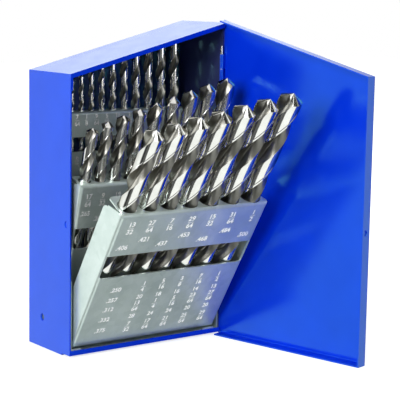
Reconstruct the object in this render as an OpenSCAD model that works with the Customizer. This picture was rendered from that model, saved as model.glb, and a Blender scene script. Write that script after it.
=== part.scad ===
// Drill bit case: an upright sheet steel case with a hinged lid and three racks of twist drills.
// Sizes in millimetres. X runs across the front, Y from front to back, Z up.
// The origin is the middle of the case's footprint, on the surface it stands on.

/* [Case] */
// Outer width of the case
case_w = 102.4; // [96:0.1:120]
// Outer depth of the case
case_d = 44.4; // [40:0.1:60]
// Height of the left side
left_h = 152; // [148:0.5:180]
// Height of the hinge side
right_h = 178.5; // [170:0.5:210]
// Thickness of the painted steel sheet
sheet = 0.8; // [0.6:0.1:1.2]
// Outer radius of the folds at the back
back_fold = 1.8; // [1.4:0.1:3]
// Depth of the raised strip along the front of the floor
step_d = 8; // [6:0.5:12]
// Height of the raised strip's underside
step_h = 1; // [1:0.1:2]
// Height of the lip along the front of the floor
lip_top = 3.6; // [3:0.1:6]

/* [Lid] */
// Opening angle of the lid
lid_open = 102.4; // [90:0.1:120]
// Depth of the lid's flange, from the outside of the panel
lid_depth = 7.3; // [5:0.1:12]
// Gap between the lid's flange and the case, at the side and the top
lid_gap = 1.3; // [0.3:0.1:1.8]
// Outer radius of the lid's folds
lid_fold = 1.5; // [1:0.1:3]

/* [Hinge] */
// Radius of the hinge pins
pin_r = 0.75; // [0.5:0.05:1.2]
// Running clearance round the pins
pin_play = 0.05; // [0.02:0.01:0.1]
// Outer radius of the knuckles
knuckle_r = 1.45; // [1.2:0.05:2]
// Length of one knuckle
knuckle_h = 8.1; // [6:0.1:12]
// Length of a hinge pin
pin_len = 26; // [20:0.5:40]

/* [Racks] */
// Lean of the front rack
front_lean = 31.3; // [0:0.1:32]
// Lean of the middle rack
middle_lean = 15.74; // [0:0.01:16]
// Thickness of the rack sheet
rack_t = 0.8; // [0.6:0.1:1]
// Outer radius of the rack folds
rack_fold = 1.7; // [1.2:0.1:3]
// Height of the rack pivots above the base
pivot_z = 9.9; // [9:0.1:14]
// Radius of the rivets the racks turn on
rivet_r = 1.5; // [1:0.1:2]
// Diameter clearance of the holes in the shelves
hole_play = 0.4; // [0.2:0.05:0.8]

/* [Drills] */
// Flute pitch as a multiple of the diameter
pitch_ratio = 5.4; // [4:0.1:7]
// Full angle of the drill points
point_angle = 118; // [90:1:140]

/* [Hidden] */
inch = 25.4;
slope = atan((right_h - left_h) / case_w);
pin_x = case_w - 2.35;
pin_y = 1.4;
rack_x0 = 2.75;
rack_x1 = case_w - 4.1;
tab_t = 0.8;
ear_t = 0.9;
ear_x = 0.85;
round_n = 48;

// First and last drill of each rack, in sixty-fourths of an inch
rear_first = 4;
middle_first = 17;
front_first = 26;
front_last = 32;

// Front rack: pivot depth, plate face, depth, shelf height, window, drill line, drill ends
front_y = 8.2;
front_n = -7.4;
front_depth = 16.2;
front_shelf = 89.8;
front_win = [47.5, 63];
front_line = 0.1;
front_foot = 5;
front_x = [10.3, 89.8];

// Middle rack
middle_y = 23.5;
middle_n = -6.1;
middle_depth = 13.2;
middle_shelf = 88.8;
middle_win = [52, 64];
middle_line = 0.5;
middle_foot = 13.9;
middle_x = [8.75, 91.6];

// Rear rack
rear_y = 36.2;
rear_n = -5.2;
rear_depth = 12.2;
rear_shelf = 118.9;
rear_win = [96.9, 104.9];
rear_line = 0.7;
rear_x = [7.6, 92.6];

// The rear strip slopes in two stretches: start, bend and end as distance across and height
rear_start = [rack_x0 + rack_t, 87.2];
rear_bend = [22, 70.1];
rear_end = [rack_x1 - rack_t, 55.9];

// Standard lengths of the drills below 3/16, in inches, from 1/16 up
small_over = [1.875, 2, 2.25, 2.625, 2.75, 2.875, 3.125, 3.25];
small_flute = [0.875, 1, 1.25, 1.5, 1.625, 1.75, 2, 2.125];

paint = [0.03, 0.14, 0.85];
zinc = [0.66, 0.72, 0.74];
steel = [0.78, 0.79, 0.8];

function top_z(x) = left_h + (right_h - left_h) * x / case_w;

// ---- Drill sizes ----

function size_d(k) = k / 64 * inch;

function size_over(k) = inch * (k < 12 ? small_over[k - 4] : 3.5 + (k - 12) / 8);

function size_flute(k) = inch * (k < 12 ? small_flute[k - 4] : 2.3125 + (k - 12) * 0.109375);

// Width taken by the drills between the centres of sizes a and b
function size_span(a, b) = (b * b - a * a) / 128 * inch;

// Position across the rack: the gap between neighbouring drills is constant
function size_x(k, a, b, ends) =
    ends[0] + size_span(a, k) + (k - a) * (ends[1] - ends[0] - size_span(a, b)) / (b - a);

// ---- Shared forms ----

// Moves children from the corner of the case to the part's origin
module from_corner() {
    translate([-case_w / 2, -case_d / 2, 0])
        children();
}

// What a fold of radius r leaves off a square corner
module fold_corner(r) {
    difference() {
        translate([-2, -2])
            square(r + 2);
        translate([r, r])
            circle(r, $fn = round_n);
    }
}

// Draws a shape in the YZ plane and extrudes it along X
module along_x(x0, x1) {
    translate([x0, 0, 0])
        rotate([90, 0, 90])
            linear_extrude(x1 - x0)
                children();
}

// Block between two depths whose top follows the slope of the case
module sloped_block(x0, x1, y0, y1, z0, lift) {
    translate([0, y1, 0])
        rotate([90, 0, 0])
            linear_extrude(y1 - y0)
                polygon([[x0, z0], [x1, z0], [x1, top_z(x1) + lift], [x0, top_z(x0) + lift]]);
}

// Fold along the sloping top edge: corner at (y, z) above x = 0, turned by a quarter or half turn
module sloped_fold(x0, y, lift, r, turn) {
    translate([0, y, left_h + lift])
        rotate([0, -slope, 0])
            along_x(x0 - 4, case_w + 12)
                rotate(turn)
                    fold_corner(r);
}

// ---- Case ----

module case_form(in, front) {
    r = back_fold - in;
    lift = -in / cos(slope);
    difference() {
        sloped_block(in, case_w - in, front, case_d - in, in, lift);
        translate([in, case_d - in, -1])
            rotate(-90)
                linear_extrude(right_h + 2)
                    fold_corner(r);
        translate([case_w - in, case_d - in, -1])
            rotate(180)
                linear_extrude(right_h + 2)
                    fold_corner(r);
        translate([0, case_d - in, in])
            along_x(-1, case_w + 1)
                rotate(90)
                    fold_corner(r);
        sloped_fold(0, case_d - in, lift, r, 180);
    }
}

// Round pressing in a side wall: x and direction of the wall's outer face
module pressing(x, side, y, z, r, depth) {
    translate([x, y, z])
        rotate([0, 90 * side, 0])
            cylinder(h = depth + sheet, r1 = r + 0.5, r2 = r, $fn = round_n);
}

module pressing_hollow(x, side, y, z, r, depth) {
    translate([x - side, y, z])
        rotate([0, 90 * side, 0])
            cylinder(h = depth + 1, r1 = r + 0.2, r2 = r - 0.7, $fn = round_n);
}

module case_knuckle(z) {
    difference() {
        union() {
            translate([pin_x, pin_y, z])
                cylinder(h = knuckle_h, r = knuckle_r, $fn = round_n);
            translate([pin_x, pin_y + knuckle_r - 0.7, z])
                cube([1.6, 0.7, knuckle_h]);
        }
        translate([pin_x, pin_y, z - 1])
            cylinder(h = knuckle_h + 2, r = pin_r + pin_play, $fn = round_n);
    }
}

// Tab folded from the top wall down inside a side wall
module corner_tab(x, y) {
    z = top_z(x) - sheet;
    along_x(x, x + tab_t)
        polygon([[y, z + 0.3], [y + 7, z + 0.3], [y + 5, z - 6], [y, z - 8]]);
}

module case_body() color(paint) from_corner() {
    difference() {
        union() {
            difference() {
                case_form(0, 0);
                case_form(sheet, -1);
            }
            pressing(0, 1, 28.6, 16.9, 2.3, 0.7);
            pressing(case_w, -1, 28.6, 16.9, 2.3, 0.7);
            pressing(0, 1, 4, 72, 2.2, 0.45);
        }
        translate([-1, -1, -1])
            cube([case_w + 2, step_d + 1, step_h + 1]);
        translate([case_w - 1.2, -1, -1])
            cube([3, 3.1, right_h + 2]);
        pressing_hollow(0, 1, 28.6, 16.9, 2.3, 0.7);
        pressing_hollow(case_w, -1, 28.6, 16.9, 2.3, 0.7);
        pressing_hollow(0, 1, 4, 72, 2.2, 0.45);
        translate([-1, -1, left_h - 1.2])
            cube([1.25, case_d - back_fold + 1, 0.3]);
        translate([case_w - 0.25, 2, right_h - 1.4])
            cube([1, case_d - back_fold - 2, 0.3]);
    }
    translate([0.4, 0, step_h])
        cube([case_w - 1.6, step_d + sheet, sheet]);
    translate([0.4, 2.1, step_h])
        cube([case_w - 0.8, step_d + sheet - 2.1, sheet]);
    translate([0.4, step_d, 0.2])
        cube([case_w - 0.8, sheet, step_h + sheet - 0.2]);
    translate([0.4, 0, step_h])
        cube([case_w - 1.6, sheet, lip_top - step_h]);
    intersection() {
        sloped_block(0.4, case_w - 1.2, 0, sheet, left_h - 10, -0.3);
        translate([0, 0, left_h])
            rotate([0, -slope, 0])
                translate([-1, -1, -2.4])
                    cube([case_w + 12, 4, 2.4]);
    }
    corner_tab(sheet - 0.1, 0);
    corner_tab(case_w - sheet - tab_t + 0.1, 2.1);
    case_knuckle(144.3);
    case_knuckle(54.5);
}

// ---- Hinge ----

module hinge_pin(z) {
    translate([pin_x, pin_y, z])
        cylinder(h = pin_len, r = pin_r, $fn = round_n);
}

module upper_hinge_pin() color(steel) from_corner() hinge_pin(139.5);

module lower_hinge_pin() color(steel) from_corner() hinge_pin(49.7);

// ---- Lid, drawn closed and turned about the pins ----

lid_x0 = -lid_gap - sheet;
lid_y0 = -0.3 - sheet;
lid_lift = (lid_gap + 0.2 + sheet) / cos(slope);

module lid_form(in, back) {
    r = lid_fold - in;
    lift = lid_lift - in / cos(slope);
    difference() {
        sloped_block(lid_x0 + in, pin_x + (in > 0 ? 1 : 0), lid_y0 + in, back, in, lift);
        translate([lid_x0 + in, lid_y0 + in, -1])
            linear_extrude(right_h + 4)
                fold_corner(r);
        translate([0, lid_y0 + in, in])
            along_x(lid_x0 - 1, case_w + 1)
                fold_corner(r);
        sloped_fold(lid_x0, lid_y0 + in, lift, r, -90);
    }
}

module lid_knuckle(z) {
    difference() {
        union() {
            translate([pin_x, pin_y, z])
                cylinder(h = knuckle_h, r = knuckle_r, $fn = round_n);
            translate([pin_x - knuckle_r, -0.4, z])
                cube([0.7, pin_y + 0.4, knuckle_h]);
        }
        translate([pin_x, pin_y, z - 1])
            cylinder(h = knuckle_h + 2, r = pin_r + pin_play, $fn = round_n);
    }
}

module closed_lid() {
    back = lid_y0 + lid_depth;
    difference() {
        union() {
            difference() {
                lid_form(0, back);
                lid_form(sheet, back + 1);
            }
            pressing(lid_x0, 1, 3.6, 72, 1.9, 0.7);
        }
        pressing_hollow(lid_x0, 1, 3.6, 72, 1.9, 0.7);
        translate([pin_x - 2.2, lid_y0 + sheet + 0.01, -1])
            cube([4, lid_depth, right_h + 6]);
    }
    lid_knuckle(152.6);
    lid_knuckle(62.8);
}

module lid() color(paint) from_corner()
    translate([pin_x, pin_y, 0])
        rotate(lid_open)
            translate([-pin_x, -pin_y, 0])
                closed_lid();

// ---- Rack bracket ----

module bracket_ear(front) {
    difference() {
        polygon([[front, 2.2], [front, 41.5], [front + 2, 43.5], [front + 7, 43.5],
            [42.4, 24], [42.4, 2.2]]);
        for (y = [front_y, middle_y, rear_y])
            translate([y, pivot_z])
                circle(rivet_r + 0.02, $fn = round_n);
        translate([28.6, 16.9])
            circle(3.2, $fn = round_n);
    }
}

module rack_bracket() color(zinc) from_corner() {
    along_x(ear_x, ear_x + ear_t)
        bracket_ear(1);
    along_x(case_w - ear_x - ear_t, case_w - ear_x)
        bracket_ear(2.4);
    difference() {
        translate([ear_x, 0, 2.1])
            cube([case_w - 2 * ear_x, 42.4, ear_t]);
        translate([0, -1, 0])
            cube([case_w, 2, 6]);
        translate([ear_x + 7, -1, 0])
            cube([case_w - 19 - ear_x, 4.5, 6]);
        translate([case_w - 5, -1, 0])
            cube([6, 3.4, 6]);
        translate([case_w / 2, 15.5, 0])
            cylinder(h = 6, r = 3, $fn = round_n);
        translate([case_w / 2, 30, 0])
            cylinder(h = 6, r = 3, $fn = round_n);
    }
    for (x = [ear_x, case_w - 12])
        translate([x, 1, 2.1])
            cube([7, 0.9, 2.2]);
}

// ---- Racks: x across, y depth behind the pivot, z height above it ----

// Side flange: straight rear edge, rounded top corner, tapering to a round end about the pivot
module flange_outline(n, depth, shelf) {
    back = n + depth;
    low = 24;
    drop = 3.5;
    turn = atan((back - 4) / low);
    difference() {
        union() {
            polygon([[n - 1, -1.1], [n - 1, shelf], [n + 3, shelf], [back, shelf - drop],
                [back, low], [4 * cos(turn), -4 * sin(turn)], [0, 0], [-1.6, -3.66], [n, -1.1]]);
            circle(4, $fn = round_n);
        }
        translate([back, shelf - drop])
            rotate(180)
                fold_corner(3.5);
        circle(rivet_r + 0.05, $fn = round_n);
    }
}

module rack_block(in, n, depth, shelf) {
    x0 = rack_x0 + in;
    x1 = rack_x1 - in;
    r = rack_fold - in;
    difference() {
        translate([x0, n + in, -5 - in])
            cube([x1 - x0, depth + in, shelf + 5]);
        translate([x0, n + in, -8])
            linear_extrude(shelf + 10)
                fold_corner(r);
        translate([x1, n + in, -8])
            rotate(90)
                linear_extrude(shelf + 10)
                    fold_corner(r);
        translate([0, n + in, shelf - in])
            along_x(0, case_w)
                rotate(-90)
                    fold_corner(r);
    }
}

// Window across the plate, with rounded lower corners
module window_cut(n, win) {
    r = 3;
    translate([0, n + rack_t + 0.05, 0])
        rotate([90, 0, 0])
            linear_extrude(4)
                difference() {
                    translate([rack_x0 + 0.5, win[0]])
                        square([rack_x1 - rack_x0 - 1, win[1] - win[0]]);
                    translate([rack_x0 + 0.5, win[0]])
                        fold_corner(r);
                    translate([rack_x1 - 0.5, win[0]])
                        rotate(90)
                            fold_corner(r);
                }
}

module rack_sheet(n, depth, shelf, win, line, first, last, ends) {
    difference() {
        rack_block(0, n, depth, shelf);
        rack_block(rack_t, n, depth, shelf);
        for (x = [rack_x0 - 1, rack_x1 - rack_t - 0.01])
            along_x(x, x + 1.01 + rack_t)
                difference() {
                    translate([n - 2, -9])
                        square([depth + 4, shelf + 12]);
                    flange_outline(n, depth, shelf);
                }
        translate([rack_x0 + rack_t, n - 1, -9])
            cube([rack_x1 - rack_x0 - 2 * rack_t, depth + 2, 7.9]);
        window_cut(n, win);
        for (k = [first:last])
            translate([size_x(k, first, last, ends), line, shelf - 3])
                cylinder(h = 5, r = (size_d(k) + hole_play) / 2, $fn = round_n);
        for (x = [rack_x0 + rack_t, rack_x1 - rack_t - 0.4])
            translate([x, n + rack_fold + 1, shelf - 3])
                cube([0.4, depth, 5]);
        translate([rack_x0 + rack_t, n + depth, shelf - 3])
            rotate(-90)
                linear_extrude(5)
                    fold_corner(3);
        translate([rack_x1 - rack_t, n + depth, shelf - 3])
            rotate(180)
                linear_extrude(5)
                    fold_corner(3);
    }
    translate([rack_x0 + rack_t, n + 0.1, -1.1])
        cube([rack_x1 - rack_x0 - 2 * rack_t, 2.2, rack_t]);
}

module on_front() {
    translate([0, front_y, pivot_z])
        rotate([front_lean, 0, 0])
            children();
}

module on_middle() {
    translate([0, middle_y, pivot_z])
        rotate([middle_lean, 0, 0])
            children();
}

module on_rear() {
    translate([0, rear_y, pivot_z])
        children();
}

module front_rack() color(zinc) from_corner() on_front()
    rack_sheet(front_n, front_depth, front_shelf, front_win, front_line,
        front_first, front_last, front_x);

module middle_rack() color(zinc) from_corner() on_middle()
    rack_sheet(middle_n, middle_depth, middle_shelf, middle_win, middle_line,
        middle_first, front_first - 1, middle_x);

module rear_rack() color(zinc) from_corner() on_rear()
    rack_sheet(rear_n, rear_depth, rear_shelf, rear_win, rear_line,
        rear_first, middle_first - 1, rear_x);

// ---- Strips the drills stand on ----

module flat_rest(n, foot, depth) {
    x0 = rack_x0 + rack_t;
    x1 = rack_x1 - rack_t;
    translate([x0, n + rack_fold + 0.1, foot - rack_t])
        cube([x1 - x0, depth - rack_fold - 0.4, rack_t]);
    for (x = [x0, x1 - rack_t])
        translate([x, n + rack_t + 1.2, foot - rack_t])
            cube([rack_t, depth - rack_t - 2.4, 6]);
}

module front_rest() color(zinc) from_corner() on_front()
    flat_rest(front_n, front_foot, front_depth - 2);

module middle_rest() color(zinc) from_corner() on_middle()
    flat_rest(middle_n, middle_foot, middle_depth - 1);

module rear_rest() color(zinc) from_corner() on_rear()
    translate([0, rear_n + rear_depth - 0.6, 0])
        rotate([90, 0, 0])
            linear_extrude(rear_depth - rack_fold - 0.7)
                polygon([rear_start, rear_bend, rear_end + [-rack_t, 0.15],
                    rear_end + [-rack_t, 6], rear_end + [0, 6], rear_end + [0, -rack_t],
                    rear_bend + [0, -rack_t], rear_start + [0, -rack_t]]);

// ---- Rivets the racks turn on ----

// Half section of a rivet: shank in the ear, shoulder, bearing and domed head
module rivet() {
    rotate([0, 90, 0])
        rotate_extrude($fn = round_n)
            polygon([[0, ear_x + 0.1], [rivet_r, ear_x + 0.1], [rivet_r, ear_x + ear_t],
                [2.6, ear_x + ear_t], [2.6, rack_x0 - 0.1], [rivet_r, rack_x0 - 0.1],
                [rivet_r, rack_x0 + rack_t + 0.1], [2.6, rack_x0 + rack_t + 0.1],
                [2.2, rack_x0 + rack_t + 0.6], [1.2, rack_x0 + rack_t + 0.9],
                [0, rack_x0 + rack_t + 0.9]]);
}

// The right pair bridges the wider space beside the racks
module wide_rivet() {
    reach = case_w - rack_x1;
    rotate([0, -90, 0])
        rotate_extrude($fn = round_n)
            polygon([[0, ear_x + 0.1], [rivet_r, ear_x + 0.1], [rivet_r, ear_x + ear_t],
                [2.6, ear_x + ear_t], [2.6, reach - 0.1], [rivet_r, reach - 0.1],
                [rivet_r, reach + rack_t + 0.1], [2.6, reach + rack_t + 0.1],
                [2.2, reach + rack_t + 0.6], [1.2, reach + rack_t + 0.9],
                [0, reach + rack_t + 0.9]]);
}

module rivet_pair(y) color(steel) from_corner() {
    translate([0, y, pivot_z])
        rivet();
    translate([case_w, y, pivot_z])
        wide_rivet();
}

module front_pivots() rivet_pair(front_y);

module middle_pivots() rivet_pair(middle_y);

module rear_pivots() rivet_pair(rear_y);

// ---- Twist drills, shank down and point up ----

// Share of the radius left at each point of a ring, over half a turn from the land's heel
function flute_part(n, i) = n == 12
    ? [0.98, 1, 1, 1, 0.42, 0.33][i % 6]
    : [0.98, 1, 1, 0.36][i % 4];

// Radius of a ring point: share is 0 on the shank and 1 where the flutes are full
function ring_r(r, share, n, i) = r * (1 - share * (1 - flute_part(n, i)));

function on_ring(rad, a, z) = [rad * cos(a), rad * sin(a), z];

// Turn of a drill's point about its axis
function tip_turn(k) = 65 + [0, 12, -9, 6, -5, 14, -12, 4][k % 8] * (k < 26 ? 3 : 1);

module twist_drill(k) {
    d = size_d(k);
    r = d / 2;
    over = size_over(k);
    n = k < 12 ? 8 : 12;
    turn = 360 / (pitch_ratio * d);
    foot = over - size_flute(k);
    cone = tan(point_angle / 2);
    rise = over - foot - r / cone;
    steps = ceil(rise * turn / 42);
    rings = steps + 3;
    levels = concat([0, 0.12 * d, foot], [for (j = [1:steps]) foot + rise * j / steps]);
    points = concat(
        [for (j = [0:rings - 1])
            for (i = [0:n - 1])
                let (share = j < 3 ? 0 : j == 3 ? 0.75 : 1,
                    rad = ring_r(j == 0 ? 0.88 * r : r, share, n, i),
                    a = 360 * i / n + tip_turn(k) + (max(levels[j], foot) - foot - rise) * turn,
                    z = j == rings - 1 ? over - rad / cone : levels[j])
                    on_ring(rad, a, z)],
        [[0, 0, over]]);
    sides = [for (j = [0:rings - 2])
        for (i = [0:n - 1])
            for (half = [0, 1])
                let (p = j * n + i,
                    q = j * n + (i + 1) % n)
                    half == 0 ? [p, p + n, q] : [q, p + n, q + n]];
    tip = [for (i = [0:n - 1])
        [rings * n, (rings - 1) * n + (i + 1) % n, (rings - 1) * n + i]];
    bottom = [for (i = [0:n - 1]) i];
    polyhedron(points, concat([bottom], sides, tip), convexity = 6);
}

module front_drill(k) color(steel) from_corner() on_front()
    translate([size_x(k, front_first, front_last, front_x), front_line, front_foot])
        twist_drill(k);

module middle_drill(k) color(steel) from_corner() on_middle()
    translate([size_x(k, middle_first, front_first - 1, middle_x), middle_line, middle_foot])
        twist_drill(k);

// Height of the sloping strip at a distance across the rack
function strip_z(x) = x < rear_bend[0]
    ? rear_start[1] + (rear_bend[1] - rear_start[1]) * (x - rear_start[0])
        / (rear_bend[0] - rear_start[0])
    : rear_bend[1] + (rear_end[1] - rear_bend[1]) * (x - rear_bend[0])
        / (rear_end[0] - rear_bend[0]);

module rear_drill(k) color(steel) from_corner() on_rear() {
    x = size_x(k, rear_first, middle_first - 1, rear_x);
    translate([x, rear_line, strip_z(x - size_d(k) / 2) + 0.02])
        twist_drill(k);
}

module drill_1_16() rear_drill(4);

module drill_5_64() rear_drill(5);

module drill_3_32() rear_drill(6);

module drill_7_64() rear_drill(7);

module drill_1_8() rear_drill(8);

module drill_9_64() rear_drill(9);

module drill_5_32() rear_drill(10);

module drill_11_64() rear_drill(11);

module drill_3_16() rear_drill(12);

module drill_13_64() rear_drill(13);

module drill_7_32() rear_drill(14);

module drill_15_64() rear_drill(15);

module drill_1_4() rear_drill(16);

module drill_17_64() middle_drill(17);

module drill_9_32() middle_drill(18);

module drill_19_64() middle_drill(19);

module drill_5_16() middle_drill(20);

module drill_21_64() middle_drill(21);

module drill_11_32() middle_drill(22);

module drill_23_64() middle_drill(23);

module drill_3_8() middle_drill(24);

module drill_25_64() middle_drill(25);

module drill_13_32() front_drill(26);

module drill_27_64() front_drill(27);

module drill_7_16() front_drill(28);

module drill_29_64() front_drill(29);

module drill_15_32() front_drill(30);

module drill_31_64() front_drill(31);

module drill_1_2() front_drill(32);

case_body();
lid();
upper_hinge_pin();
lower_hinge_pin();
rack_bracket();
front_rack();
middle_rack();
rear_rack();
front_rest();
middle_rest();
rear_rest();
front_pivots();
middle_pivots();
rear_pivots();
drill_1_16();
drill_5_64();
drill_3_32();
drill_7_64();
drill_1_8();
drill_9_64();
drill_5_32();
drill_11_64();
drill_3_16();
drill_13_64();
drill_7_32();
drill_15_64();
drill_1_4();
drill_17_64();
drill_9_32();
drill_19_64();
drill_5_16();
drill_21_64();
drill_11_32();
drill_23_64();
drill_3_8();
drill_25_64();
drill_13_32();
drill_27_64();
drill_7_16();
drill_29_64();
drill_15_32();
drill_31_64();
drill_1_2();
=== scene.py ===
from math import cos, gcd, pi, radians, sin, tan

import bpy
from mathutils import Matrix, Vector

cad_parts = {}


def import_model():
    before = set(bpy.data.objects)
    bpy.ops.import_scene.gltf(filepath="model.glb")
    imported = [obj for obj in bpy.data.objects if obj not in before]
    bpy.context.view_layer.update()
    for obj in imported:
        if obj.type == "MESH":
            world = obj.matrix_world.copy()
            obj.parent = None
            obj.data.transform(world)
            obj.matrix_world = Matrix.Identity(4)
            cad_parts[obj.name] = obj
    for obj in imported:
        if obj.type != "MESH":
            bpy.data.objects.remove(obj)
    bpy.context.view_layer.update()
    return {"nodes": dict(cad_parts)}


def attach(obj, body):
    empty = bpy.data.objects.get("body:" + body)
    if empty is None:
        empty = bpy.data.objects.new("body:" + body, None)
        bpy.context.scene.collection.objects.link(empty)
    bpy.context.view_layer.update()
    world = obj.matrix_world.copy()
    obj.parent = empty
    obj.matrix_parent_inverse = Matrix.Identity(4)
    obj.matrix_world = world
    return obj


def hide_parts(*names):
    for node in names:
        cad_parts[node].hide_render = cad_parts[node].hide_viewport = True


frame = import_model()

MM = 0.001
INCH = 25.4

# Values of the source, in millimetres and degrees
CASE_W, CASE_D = 102.4, 44.4
LEFT_H, RIGHT_H = 152.0, 178.5
PIVOT_Z = 9.9
POINT_ANGLE = 118
PITCH_RATIO = 5.4

# Racks as in the source: body, pivot depth, lean, plate face, drill line, first and last drill
# in 64ths of an inch, where those two stand across, and the height that the drills stand at
RACKS = {
    "front": dict(body="front_rack", y=8.2, lean=31.3, plate=-7.4, line=0.1,
                  first=26, last=32, ends=(10.3, 89.8), foot=5.0),
    "middle": dict(body="middle_rack", y=23.5, lean=15.74, plate=-6.1, line=0.5,
                   first=17, last=25, ends=(8.75, 91.6), foot=13.9),
    "rear": dict(body="case", y=36.2, lean=0.0, plate=-5.2, line=0.7,
                 first=4, last=16, ends=(7.6, 92.6), foot=None),
}

# Overall and flute lengths in inches: a list for the small drills, then a start and a step
SMALL_FIRST, LARGE_FIRST = 4, 12
SMALL_OVER = (1.875, 2, 2.25, 2.625, 2.75, 2.875, 3.125, 3.25)
SMALL_FLUTE = (0.875, 1, 1.25, 1.5, 1.625, 1.75, 2, 2.125)
LARGE_OVER = (3.5, 0.125)
LARGE_FLUTE = (2.3125, 0.109375)

# Top of the rear strip, across and height: left end, bend, right end
STRIP = ((3.55, 87.2), (22.0, 70.1), (CASE_W - 4.1 - 0.8, 55.9))
STRIP_GAP = 0.02


def drill_length(k, small, large):
    start, rise = large
    return INCH * (small[k - SMALL_FIRST] if k < LARGE_FIRST else start + (k - LARGE_FIRST) * rise)


def drill_x(k, rack):
    """Where drill k stands across the rack, with equal gaps between neighbours."""
    first, last, (x0, x1) = rack["first"], rack["last"], rack["ends"]

    def filled(a, b):
        return (b * b - a * a) / 128 * INCH

    return x0 + filled(first, k) + (k - first) * (x1 - x0 - filled(first, last)) / (last - first)


def strip_z(x):
    left, bend, right = STRIP
    (x0, z0), (x1, z1) = (left, bend) if x < bend[0] else (bend, right)
    return z0 + (z1 - z0) * (x - x0) / (x1 - x0)


def lowest_terms(k):
    """Numerator and denominator of k 64ths."""
    g = gcd(k, 64)
    return k // g, 64 // g


def on_rack(rack):
    """From rack coordinates (across, depth, height) in mm to the part's frame in metres."""
    return (Matrix.Scale(MM, 4)
            @ Matrix.Translation((-CASE_W / 2, rack["y"] - CASE_D / 2, PIVOT_Z))
            @ Matrix.Rotation(radians(rack["lean"]), 4, "X"))


def new_piece(name, verts, faces, *materials):
    mesh = bpy.data.meshes.new(name)
    mesh.from_pydata(verts, [], faces)
    for mat in materials:
        mesh.materials.append(mat)
    obj = bpy.data.objects.new(name, mesh)
    bpy.context.collection.objects.link(obj)
    return obj


# ---------------------------------------------------------------- shader helpers

def new_material(name):
    mat = bpy.data.materials.new(name)
    mat.use_nodes = True
    tree = mat.node_tree
    return mat, tree, tree.nodes["Principled BSDF"]


def put(n, **values):
    """Sets inputs by name, and properties where no input has the name."""
    for key, value in values.items():
        if key in n.inputs:
            n.inputs[key].default_value = value
        else:
            setattr(n, key, value)


def node(tree, kind, **values):
    n = tree.nodes.new(kind)
    put(n, **values)
    return n


def ramp(tree, source, *stops):
    """Stops are (position, grey or colour)."""
    r = tree.nodes.new("ShaderNodeValToRGB")
    for element, (position, value) in zip(r.color_ramp.elements, stops):
        element.position = position
        element.color = (*value, 1) if isinstance(value, tuple) else (value, value, value, 1)
    tree.links.new(source, r.inputs["Fac"])
    return r.outputs["Color"]


def joined(tree, operation, a, b):
    m = node(tree, "ShaderNodeMath", operation=operation)
    for socket, value in zip(m.inputs, (a, b)):
        if isinstance(value, (int, float)):
            socket.default_value = value
        else:
            tree.links.new(value, socket)
    return m.outputs[0]


def product(tree, *factors):
    total = factors[0]
    for factor in factors[1:]:
        total = joined(tree, "MULTIPLY", total, factor)
    return total


def step(tree, source, low, high):
    m = node(tree, "ShaderNodeMapRange", interpolation_type="SMOOTHSTEP",
             **{"From Min": low, "From Max": high})
    tree.links.new(source, m.inputs["Value"])
    return m.outputs[0]


def axes(tree, output="Object"):
    tc = tree.nodes.new("ShaderNodeTexCoord")
    sep = tree.nodes.new("ShaderNodeSeparateXYZ")
    tree.links.new(tc.outputs[output], sep.inputs[0])
    return sep.outputs


def coords(tree, scale=(1, 1, 1)):
    tc = tree.nodes.new("ShaderNodeTexCoord")
    mp = node(tree, "ShaderNodeMapping", Scale=scale)
    tree.links.new(tc.outputs["Object"], mp.inputs["Vector"])
    return mp.outputs["Vector"]


def noise(tree, vector, scale, detail):
    n = node(tree, "ShaderNodeTexNoise", Scale=scale, Detail=detail)
    tree.links.new(vector, n.inputs["Vector"])
    return n.outputs["Fac"]


def bump(tree, bsdf, height, strength, distance, onto=None):
    b = node(tree, "ShaderNodeBump", Strength=strength, Distance=distance)
    tree.links.new(height, b.inputs["Height"])
    if onto is not None:
        tree.links.new(onto, b.inputs["Normal"])
    tree.links.new(b.outputs["Normal"], bsdf.inputs["Normal"])
    return b.outputs["Normal"]


def mixed(tree, factor, first, second):
    mix = tree.nodes.new("ShaderNodeMixShader")
    for socket, source in zip(mix.inputs, (factor, first, second)):
        tree.links.new(source, socket)
    return mix.outputs[0]


def ray_kinds(tree):
    """Whether a ray sees the plain background, and whether it is a glossy one."""
    path = tree.nodes.new("ShaderNodeLightPath").outputs
    return (joined(tree, "MAXIMUM", path["Is Camera Ray"], path["Is Transmission Ray"]),
            path["Is Glossy Ray"])


# ---------------------------------------------------------------- materials

# Depths in mm over which the paint changes from its own colour outside to painted shade inside the
# case
SHEET_OUT, SHEET_IN = 0.5, 0.7
LIP_OUT, LIP_IN = 0.4, 1.6


# Mask of the case's inside, where a darker colour is painted in as shade
def inside_case(tree):
    x, y, z = axes(tree)
    slope = (RIGHT_H - LEFT_H) / CASE_W
    level = joined(tree, "SUBTRACT", z, joined(tree, "MULTIPLY", x, slope))
    mid_h = (LEFT_H + RIGHT_H) / 2

    def under(source, face):
        return step(tree, source, (face - SHEET_OUT) * MM, (face - SHEET_IN) * MM)

    return product(
        tree,
        under(joined(tree, "ABSOLUTE", x, 0), CASE_W / 2),
        step(tree, y, (LIP_OUT - CASE_D / 2) * MM, (LIP_IN - CASE_D / 2) * MM),
        under(y, CASE_D / 2),
        step(tree, z, SHEET_OUT * MM, SHEET_IN * MM),
        step(tree, level, mid_h * MM - SHEET_OUT * MM, mid_h * MM - SHEET_IN * MM))


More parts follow.
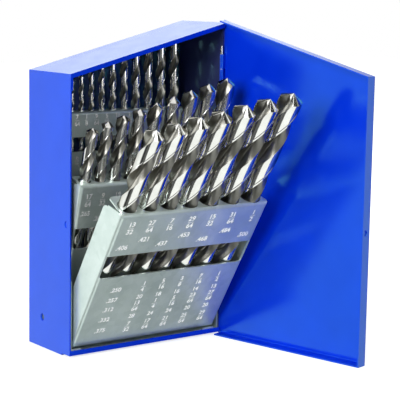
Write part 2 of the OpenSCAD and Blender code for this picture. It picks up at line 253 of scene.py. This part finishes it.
def blue_paint():
    mat, tree, bsdf = new_material("blue_enamel")
    put(bsdf, **{"Specular IOR Level": 0.9, "Specular Tint": (0.2, 0.9, 1.0, 1)})
    v = coords(tree)
    outside = ramp(tree, noise(tree, v, 38, 2),
                   (0.3, (0.0, 0.028, 0.70)), (0.7, (0.001, 0.036, 0.78)))
    # A darker colour inside the case is painted shade, standing for the shadow in its interior
    paint = node(tree, "ShaderNodeMix", data_type="RGBA", blend_type="MIX")
    tree.links.new(inside_case(tree), paint.inputs["Factor"])
    tree.links.new(outside, paint.inputs["A"])
    paint.inputs["B"].default_value = (0.04, 0.048, 0.17, 1)
    tree.links.new(paint.outputs["Result"], bsdf.inputs["Base Color"])
    smear = noise(tree, coords(tree, (1, 1, 0.35)), 90, 4)
    tree.links.new(ramp(tree, smear, (0.35, 0.13), (0.75, 0.2)), bsdf.inputs["Roughness"])
    peel = bump(tree, bsdf, noise(tree, v, 900, 2), 0.06, 0.0003)
    bump(tree, bsdf, noise(tree, v, 45, 1), 0.05, 0.002, peel)
    return mat


def zinc_sheet():
    mat, tree, bsdf = new_material("galvanised_sheet")
    put(bsdf, Metallic=0.68)
    v = coords(tree)
    spangle = node(tree, "ShaderNodeTexVoronoi", Scale=260.0)
    tree.links.new(v, spangle.inputs["Vector"])
    drift = noise(tree, v, 60, 4)
    mix = node(tree, "ShaderNodeMix", data_type="RGBA", blend_type="MIX")
    mix.inputs["Factor"].default_value = 0.25
    tree.links.new(drift, mix.inputs["A"])
    tree.links.new(spangle.outputs["Color"], mix.inputs["B"])
    tree.links.new(ramp(tree, mix.outputs["Result"],
                        (0.3, (0.57, 0.68, 0.64)), (0.72, (0.71, 0.81, 0.775))),
                   bsdf.inputs["Base Color"])
    tree.links.new(ramp(tree, drift, (0.3, 0.34), (0.75, 0.44)), bsdf.inputs["Roughness"])
    rolled = bump(tree, bsdf, noise(tree, coords(tree, (1, 0.06, 0.06)), 1500, 3), 0.10, 0.0001)
    bump(tree, bsdf, noise(tree, v, 2600, 2), 0.12, 0.00006, rolled)
    return mat


def bright_steel(name, dark, pale, smooth, dull):
    mat, tree, bsdf = new_material(name)
    put(bsdf, Metallic=1.0, **{"Specular Tint": (0.45, 0.42, 0.32, 1)})
    v = coords(tree)
    tree.links.new(ramp(tree, noise(tree, v, 120, 3), (0.3, dark), (0.75, pale)),
                   bsdf.inputs["Base Color"])
    tree.links.new(ramp(tree, noise(tree, v, 420, 4), (0.3, smooth), (0.75, dull)),
                   bsdf.inputs["Roughness"])
    bump(tree, bsdf, noise(tree, coords(tree, (1, 1, 0.12)), 3200, 3), 0.10, 0.00005)
    return mat


def stamped_mark(name, dark, pale):
    # Paint for the struck numbers: a pale painted highlight or a dark painted shadow
    mat, tree, bsdf = new_material(name)
    put(bsdf, Metallic=0.6)
    fade = noise(tree, coords(tree), 700, 3)
    tree.links.new(ramp(tree, fade, (0.25, dark), (0.6, pale)), bsdf.inputs["Base Color"])
    tree.links.new(ramp(tree, fade, (0.3, 0.3), (0.7, 0.45)), bsdf.inputs["Roughness"])
    # The struck slope faces a little to the left
    bump(tree, bsdf, joined(tree, "MULTIPLY", axes(tree)[0], 0.3), 1.0, 1.0)
    return mat


BLUE = blue_paint()
ZINC = zinc_sheet()
STEEL = bright_steel("polished_steel", (0.69, 0.68, 0.65), (0.79, 0.78, 0.75), 0.08, 0.16)
FLUTE = bright_steel("flute_steel", (0.27, 0.265, 0.235), (0.36, 0.35, 0.32), 0.31, 0.38)
# The numbers' near-white colour is a painted highlight, and their dark offset copy is a painted
# shadow
PAINTED_HIGHLIGHT_NUMBERS = stamped_mark("stamped_mark", (0.86, 0.9, 0.9), (1.0, 1.0, 1.0))
PAINTED_SHADOW_NUMBERS = stamped_mark("struck_number_painted_shadow", (0.10, 0.13, 0.14), (0.18, 0.22, 0.23))

for name, obj in frame["nodes"].items():
    if name in ("case_body", "lid"):
        mat, width = BLUE, 0.25
    elif "rack" in name or "rest" in name:
        mat, width = ZINC, 0.15
    else:
        mat, width = STEEL, 0.1
    obj.data.materials.clear()
    obj.data.materials.append(mat)
    if not name.startswith("drill"):
        soft = obj.modifiers.new("edge", "BEVEL")
        soft.width = width * MM
        soft.segments = 2
        soft.limit_method = "ANGLE"
        soft.angle_limit = radians(40)


# ---------------------------------------------------------------- drills

# Half section of the flutes: angle from the land's heel and share of the radius
SECTION = ((0, 0.965), (3, 0.97), (77, 0.97), (80, 1.0), (89, 1.0), (91, 0.86), (93.5, 0.66),
           (97, 0.48), (103, 0.36), (111, 0.31), (120, 0.33), (130, 0.39), (141, 0.48),
           (152, 0.59), (162, 0.70), (171, 0.815), (177, 0.91), (180, 0.965))
LAND_END = 89
FLUTE_START = 90

# Turn of the points about the drills' axes, and offsets that keep them from standing alike
TIP_TURN = 65
TURN_OFFSETS = (0, 12, -9, 6, -5, 14, -12, 4)
SMALL_OFFSET_SHARE = 3

# The shank's chamfer and the flutes' run-out in diameters, the point's relief in radii,
# and the most that the flutes turn from one level to the next
CHAMFER_H, CHAMFER_SHARE = 0.06, 0.90
RUN_OUT = 1.1
RELIEF = 0.10
LEVEL_TURN = 7
SHARP_EDGE = 26


def section_r(angle):
    """Share of the radius: straight lines over the land, a smooth curve in the flute."""
    a = angle % 180
    i = next(i for i in range(len(SECTION) - 1) if SECTION[i][0] <= a <= SECTION[i + 1][0])
    (a0, r0), (a1, r1) = SECTION[i:i + 2]
    t = (a - a0) / (a1 - a0)
    if a0 < FLUTE_START:
        return r0 + (r1 - r0) * t
    before = SECTION[i - 1][1]
    after = SECTION[i + 2][1] if i + 2 < len(SECTION) else r1 + (r1 - r0)
    m0 = (r1 - before) / 2
    m1 = (after - r0) / 2
    return ((2 * t**3 - 3 * t**2 + 1) * r0 + (t**3 - 2 * t**2 + t) * m0
            + (-2 * t**3 + 3 * t**2) * r1 + (t**3 - t**2) * m1)


HALF = [0, 3, 14, 26, 38, 50, 62, 72, 77, 79, 80.5, 85, 88.8, 90, 91, 92.2, 93.5, 95, 97, 100, 103,
        107, 111, 115.5, 120, 125, 130, 135.5, 141, 146.5, 152, 157, 162, 166.5, 171, 174, 177]
RING = HALF + [a + 180 for a in HALF]
SHARES = [section_r(a) for a in RING]


def tip_turn(k):
    share = 1 if k >= RACKS["front"]["first"] else SMALL_OFFSET_SHARE
    return TIP_TURN + TURN_OFFSETS[k % len(TURN_OFFSETS)] * share


def twist_drill(k, rack):
    d = k / 64 * INCH
    r = d / 2
    over = drill_length(k, SMALL_OVER, LARGE_OVER)
    foot = over - drill_length(k, SMALL_FLUTE, LARGE_FLUTE)
    turn = 360 / (PITCH_RATIO * d)
    cone = tan(radians(POINT_ANGLE / 2))
    full = over - r / cone
    x = drill_x(k, rack)
    base = rack["foot"] if rack["foot"] is not None else strip_z(x - r) + STRIP_GAP
    m = on_rack(rack) @ Matrix.Translation((x, rack["line"], base))

    levels = [(0.0, CHAMFER_SHARE), (CHAMFER_H * d, 1.0), (foot * 0.5, 1.0), (foot, 1.0)]
    first_fluted = len(levels) - 1
    count = int((full - foot) * turn / LEVEL_TURN) + 1
    levels += [(foot + (full - foot) * j / count, 1.0) for j in range(1, count + 1)]
    last = len(levels) - 1
    n = len(RING)
    verts, faces = [], []
    for j, (z, scale) in enumerate(levels):
        depth = min(1.0, max(0.0, (z - foot) / (RUN_OUT * d)))
        depth = depth * depth * (3 - 2 * depth)
        for a, share in zip(RING, SHARES):
            rad = r * scale * (1 - depth * (1 - share))
            zz = z
            if j == last:
                lag = max(0.0, LAND_END - a % 180) / LAND_END
                zz = over - rad / cone - RELIEF * rad * lag
            t = radians(a + tip_turn(k) + (min(zz, full) - full) * turn)
            verts.append(m @ Vector((rad * cos(t), rad * sin(t), zz)))
    for j in range(last):
        for i in range(n):
            p, q = j * n + i, j * n + (i + 1) % n
            faces.append((p, q, q + n, p + n))
    faces.append(tuple(reversed(range(n))))
    # Each face of the point has its own tip, so that the cones stay crisp
    for i in range(n):
        faces.append((last * n + i, last * n + (i + 1) % n, len(verts)))
        verts.append(m @ Vector((0, 0, over)))

    label = "%d_%d" % lowest_terms(k)
    obj = new_piece(f"twist_{label}", verts, faces, STEEL, FLUTE)
    mesh = obj.data
    for face in mesh.polygons:
        j, i = divmod(face.index, n)
        if first_fluted <= j < last and RING[i] % 180 >= FLUTE_START:
            face.material_index = 1
    mesh.polygons.foreach_set("use_smooth", [True] * len(mesh.polygons))
    mesh.set_sharp_from_angle(angle=radians(SHARP_EDGE))
    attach(obj, rack["body"])
    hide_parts(f"drill_{label}")


for rack in RACKS.values():
    for k in range(rack["first"], rack["last"] + 1):
        twist_drill(k, rack)


# ---------------------------------------------------------------- stamped numbers

# Each number is drawn as a dark copy, a painted shadow, and a pale one over it, a painted
# highlight:
# material, height off the plate, and shift to the right and down
LAYERS = ((1, 0.01, 0.11), (0, 0.02, 0.0))
THICKENING = 0.03
BAR_HALF = 0.14

# Sizes on the racks: shift from the drill, the fractions' height and letter size, then the
# decimals' own shift, two heights by turns, letter size and turn
SIZE_MARKS = {
    "front": dict(shift=1.2, fraction=(81.2, 4.3), own=-1.0, heights=(68.2, 72.6), size=4.2),
    "middle": dict(shift=0.0, fraction=(80.0, 3.9), own=-0.8, heights=(72.4, 68.9), size=3.6),
    "rear": dict(shift=0.0, fraction=(114.1, 3.4), own=0.0, heights=(91.4, 91.4), size=3.4,
                 turn=pi / 2),
}

# Generic chart on the front rack, by columns
CHART_X = (17.5, 35.2, 47.6, 60.0, 72.8, 85.6)
CHART_HEIGHTS = (38.0, 30.6, 23.8, 16.4, 8.4)
CHART_SIZE = 4.0
CHART = ((".250", ".257", ".312", ".332", ".375"), ((1, 4), "20", (13, 64), "28", (7, 32)),
         ((5, 16), "18", (1, 4), "24", (17, 64)), ((3, 8), "16", (5, 16), "24", (21, 64)),
         ((7, 16), "14", (23, 64), "20", (25, 64)), ((1, 2), "13", (27, 64), "20", (29, 64)))


def text_outline(body, size):
    curve = bpy.data.curves.new("mark", "FONT")
    curve.body = body
    curve.size = size
    curve.align_x = "CENTER"
    curve.align_y = "CENTER"
    curve.resolution_u = 3
    curve.offset = size * THICKENING
    obj = bpy.data.objects.new("mark", curve)
    bpy.context.collection.objects.link(obj)
    bpy.context.view_layer.update()
    mesh = obj.evaluated_get(bpy.context.evaluated_depsgraph_get()).to_mesh()
    verts = [v.co.copy() for v in mesh.vertices]
    faces = [tuple(p.vertices) for p in mesh.polygons]
    bpy.data.objects.remove(obj)
    bpy.data.curves.remove(curve)
    return verts, faces


class Marks:
    """Numbers on a rack's plate, gathered into one thin piece."""

    def __init__(self, rack):
        self.rack = rack
        self.verts, self.faces, self.layers = [], [], []

    def add(self, verts, faces, x, s, turn=0.0):
        for layer, lift, shift in LAYERS:
            m = (on_rack(self.rack)
                 @ Matrix.Translation((x + shift, self.rack["plate"] - lift, s - shift))
                 @ Matrix.Rotation(pi / 2, 4, "X") @ Matrix.Rotation(turn, 4, "Z"))
            start = len(self.verts)
            self.verts += [m @ v for v in verts]
            self.faces += [tuple(start + i for i in f) for f in faces]
            self.layers += [layer] * len(faces)

    def number(self, body, x, s, size, turn=0.0):
        self.add(*text_outline(body, size), x, s, turn)

    def bar(self, x, s, width):
        w, h = width / 2, BAR_HALF
        corners = [Vector(p) for p in ((-w, -h, 0), (w, -h, 0), (w, h, 0), (-w, h, 0))]
        self.add(corners, [(0, 1, 2, 3)], x, s)

    def fraction(self, top, bottom, x, s, size):
        self.number(str(top), x, s + size * 0.56, size)
        self.bar(x, s, size * 0.9)
        self.number(str(bottom), x, s - size * 0.56, size)

    def sizes(self, shift, fraction, own, heights, size, turn=0.0):
        for i, k in enumerate(range(self.rack["first"], self.rack["last"] + 1)):
            x = drill_x(k, self.rack) + shift
            self.fraction(*lowest_terms(k), x, *fraction)
            self.number(("%.4f" % (k / 64))[1:5], x + own, heights[i % 2], size, turn)

    def chart(self):
        for x, column in zip(CHART_X, CHART):
            for s, entry in zip(CHART_HEIGHTS, column):
                if isinstance(entry, tuple):
                    self.fraction(*entry, x, s, CHART_SIZE)
                else:
                    self.number(entry, x, s, CHART_SIZE)

    def finish(self, name):
        obj = new_piece(name, self.verts, self.faces, PAINTED_HIGHLIGHT_NUMBERS, PAINTED_SHADOW_NUMBERS)
        obj.data.polygons.foreach_set("material_index", self.layers)
        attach(obj, self.rack["body"])


for name, rack in RACKS.items():
    marks = Marks(rack)
    marks.sizes(**SIZE_MARKS[name])
    if name == "front":
        marks.chart()
    marks.finish(f"{name}_marks")


# ---------------------------------------------------------------- camera

# Place in mm from the case's front left corner, angles in degrees, focus and centre in pixels
CAMERA_AT = (-379.41, -617.24, 196.85)
CAMERA_TURN = (36.68, -8.40, 0.98)
FOCUS, CENTRE_X, CENTRE_Y = 1386.63, 192.63, 193.67
IMAGE = 400
SENSOR = 36


def place_camera():
    yaw, pitch, roll = (radians(a) for a in CAMERA_TURN)
    ahead = Vector((sin(yaw) * cos(pitch), cos(yaw) * cos(pitch), sin(pitch)))
    across = Vector((cos(yaw), -sin(yaw), 0))
    above = across.cross(ahead)
    right = across * cos(roll) + above * sin(roll)
    up = above * cos(roll) - across * sin(roll)
    m = Matrix((right, up, -ahead)).transposed().to_4x4()
    x, y, z = CAMERA_AT
    m.translation = Vector((x - CASE_W / 2, y - CASE_D / 2, z)) * MM
    data = bpy.data.cameras.new("view")
    data.lens = FOCUS / IMAGE * SENSOR
    data.sensor_width = SENSOR
    data.shift_x = (IMAGE / 2 - CENTRE_X) / IMAGE
    data.shift_y = (CENTRE_Y - IMAGE / 2) / IMAGE
    data.clip_start = 0.01
    cam = bpy.data.objects.new("view", data)
    cam.matrix_world = m
    bpy.context.collection.objects.link(cam)
    bpy.context.scene.camera = cam


place_camera()


# ---------------------------------------------------------------- floor and light

FLOOR_HALF, FLOOR_Z = 2.5, -0.0001

# What glossy rays see, fixed in the world: white panels in front, a white backdrop behind and
# a dim room elsewhere. For each, its level and the ramps of direction (axis, from, to)
FRONT = (("x", -0.60, -0.55), ("x", 0.60, 0.40), ("y", -0.12, -0.2), ("z", 0.0, -0.1))
PANELS = {
    "front": (0.4, FRONT),
    "low": (1.3, FRONT + (("z", -0.55, -0.68),)),
    "high": (1.2, (("x", -0.95, -0.9), ("x", -0.02, -0.12), ("y", -0.2, -0.35),
                   ("z", -0.02, 0.06))),
    "right": (1.3, (("x", 0.62, 0.75), ("y", -0.15, -0.28), ("z", -0.5, -0.35))),
    "side": (0.15, (("x", -0.5, -0.72), ("y", 0.1, -0.1))),
    "back": (1.2, (("y", 0.22, 0.3), ("z", 1.1, -0.4))),
    "sky": (2.05, (("y", 0.55, 0.7), ("z", 0.2, 0.32), ("z", 0.62, 0.5))),
}
ROOM_LEVEL = 0.04
ROOM_HUE = (0.96, 1.0, 0.98, 1)

# Lamps: name, place, aim, width, height (None for a square), watts
LAMPS = (
    ("front_box", (0.15, -1.2, 0.6), (0, 0, 0.2), 0.35, 1.2, 5),
    ("left_box", (-1.3, -0.3, 0.6), (0, 0, 0.08), 0.8, 1.0, 17),
    ("back_fill", (-0.9, 1.0, 0.5), (0, 0, 0.08), 0.7, None, 3),
    ("right_fill", (1.3, 0.2, 0.6), (0, 0, 0.08), 0.7, None, 5),
    ("overhead", (0, -0.2, 1.4), (0, 0, 0), 1.2, 1.2, 4.5),
)


def floor():
    mat, tree, bsdf = new_material("pale_floor")
    put(bsdf, Roughness=0.7, **{"Base Color": (0.6, 0.6, 0.6, 1), "Specular IOR Level": 0.1,
                                "Emission Color": (1, 1, 1, 1)})
    # The camera sees a white floor with the case's shadow, and glossy rays see the room past it
    plain, glossy = ray_kinds(tree)
    tc = tree.nodes.new("ShaderNodeTexCoord")
    reach = node(tree, "ShaderNodeVectorMath", operation="LENGTH")
    tree.links.new(tc.outputs["Object"], reach.inputs[0])
    level = node(tree, "ShaderNodeMapRange", **{"From Min": 0.12, "From Max": 0.45,
                                                "To Min": 0.72, "To Max": 1.0})
    tree.links.new(reach.outputs["Value"], level.inputs["Value"])
    tree.links.new(product(tree, plain, level.outputs[0]), bsdf.inputs["Emission Strength"])
    clear = tree.nodes.new("ShaderNodeBsdfTransparent")
    tree.links.new(mixed(tree, glossy, bsdf.outputs[0], clear.outputs[0]),
                   tree.nodes["Material Output"].inputs["Surface"])
    s, z = FLOOR_HALF, FLOOR_Z
    new_piece("floor", [(-s, -s, z), (s, -s, z), (s, s, z), (-s, s, z)],
                       [(0, 1, 2, 3)], mat)


def world():
    w = bpy.data.worlds.new("studio")
    bpy.context.scene.world = w
    w.use_nodes = True
    tree = w.node_tree
    fill = tree.nodes["Background"]
    put(fill, Color=(0.95, 0.97, 1.0, 1), Strength=0.1)
    direction = dict(zip("xyz", axes(tree, "Generated")))
    total = ROOM_LEVEL
    for level, ramps in PANELS.values():
        parts = [step(tree, direction[axis], low, high) for axis, low, high in ramps]
        total = joined(tree, "MAXIMUM", product(tree, *parts, level), total)
    hue = node(tree, "ShaderNodeMix", data_type="RGBA", blend_type="MULTIPLY", Factor=1.0)
    tree.links.new(total, hue.inputs["A"])
    hue.inputs["B"].default_value = ROOM_HUE
    room = node(tree, "ShaderNodeBackground", Strength=1.0)
    tree.links.new(hue.outputs["Result"], room.inputs["Color"])
    white = node(tree, "ShaderNodeBackground", Color=(1, 1, 1, 1), Strength=1.0)
    plain, glossy = ray_kinds(tree)
    lit = mixed(tree, glossy, fill.outputs[0], room.outputs[0])
    tree.links.new(mixed(tree, plain, lit, white.outputs[0]),
                   tree.nodes["World Output"].inputs["Surface"])


def lamp(name, at, to, width, height, watts):
    data = bpy.data.lights.new(name, "AREA")
    data.energy = watts
    data.size = width
    if height:
        data.shape = "RECTANGLE"
        data.size_y = height
    obj = bpy.data.objects.new(name, data)
    obj.location = at
    obj.rotation_euler = (Vector(to) - Vector(at)).to_track_quat("-Z", "Y").to_euler()
    obj.visible_camera = False
    bpy.context.collection.objects.link(obj)


floor()
world()
for row in LAMPS:
    lamp(*row)

bpy.context.scene.view_settings.view_transform = "Standard"
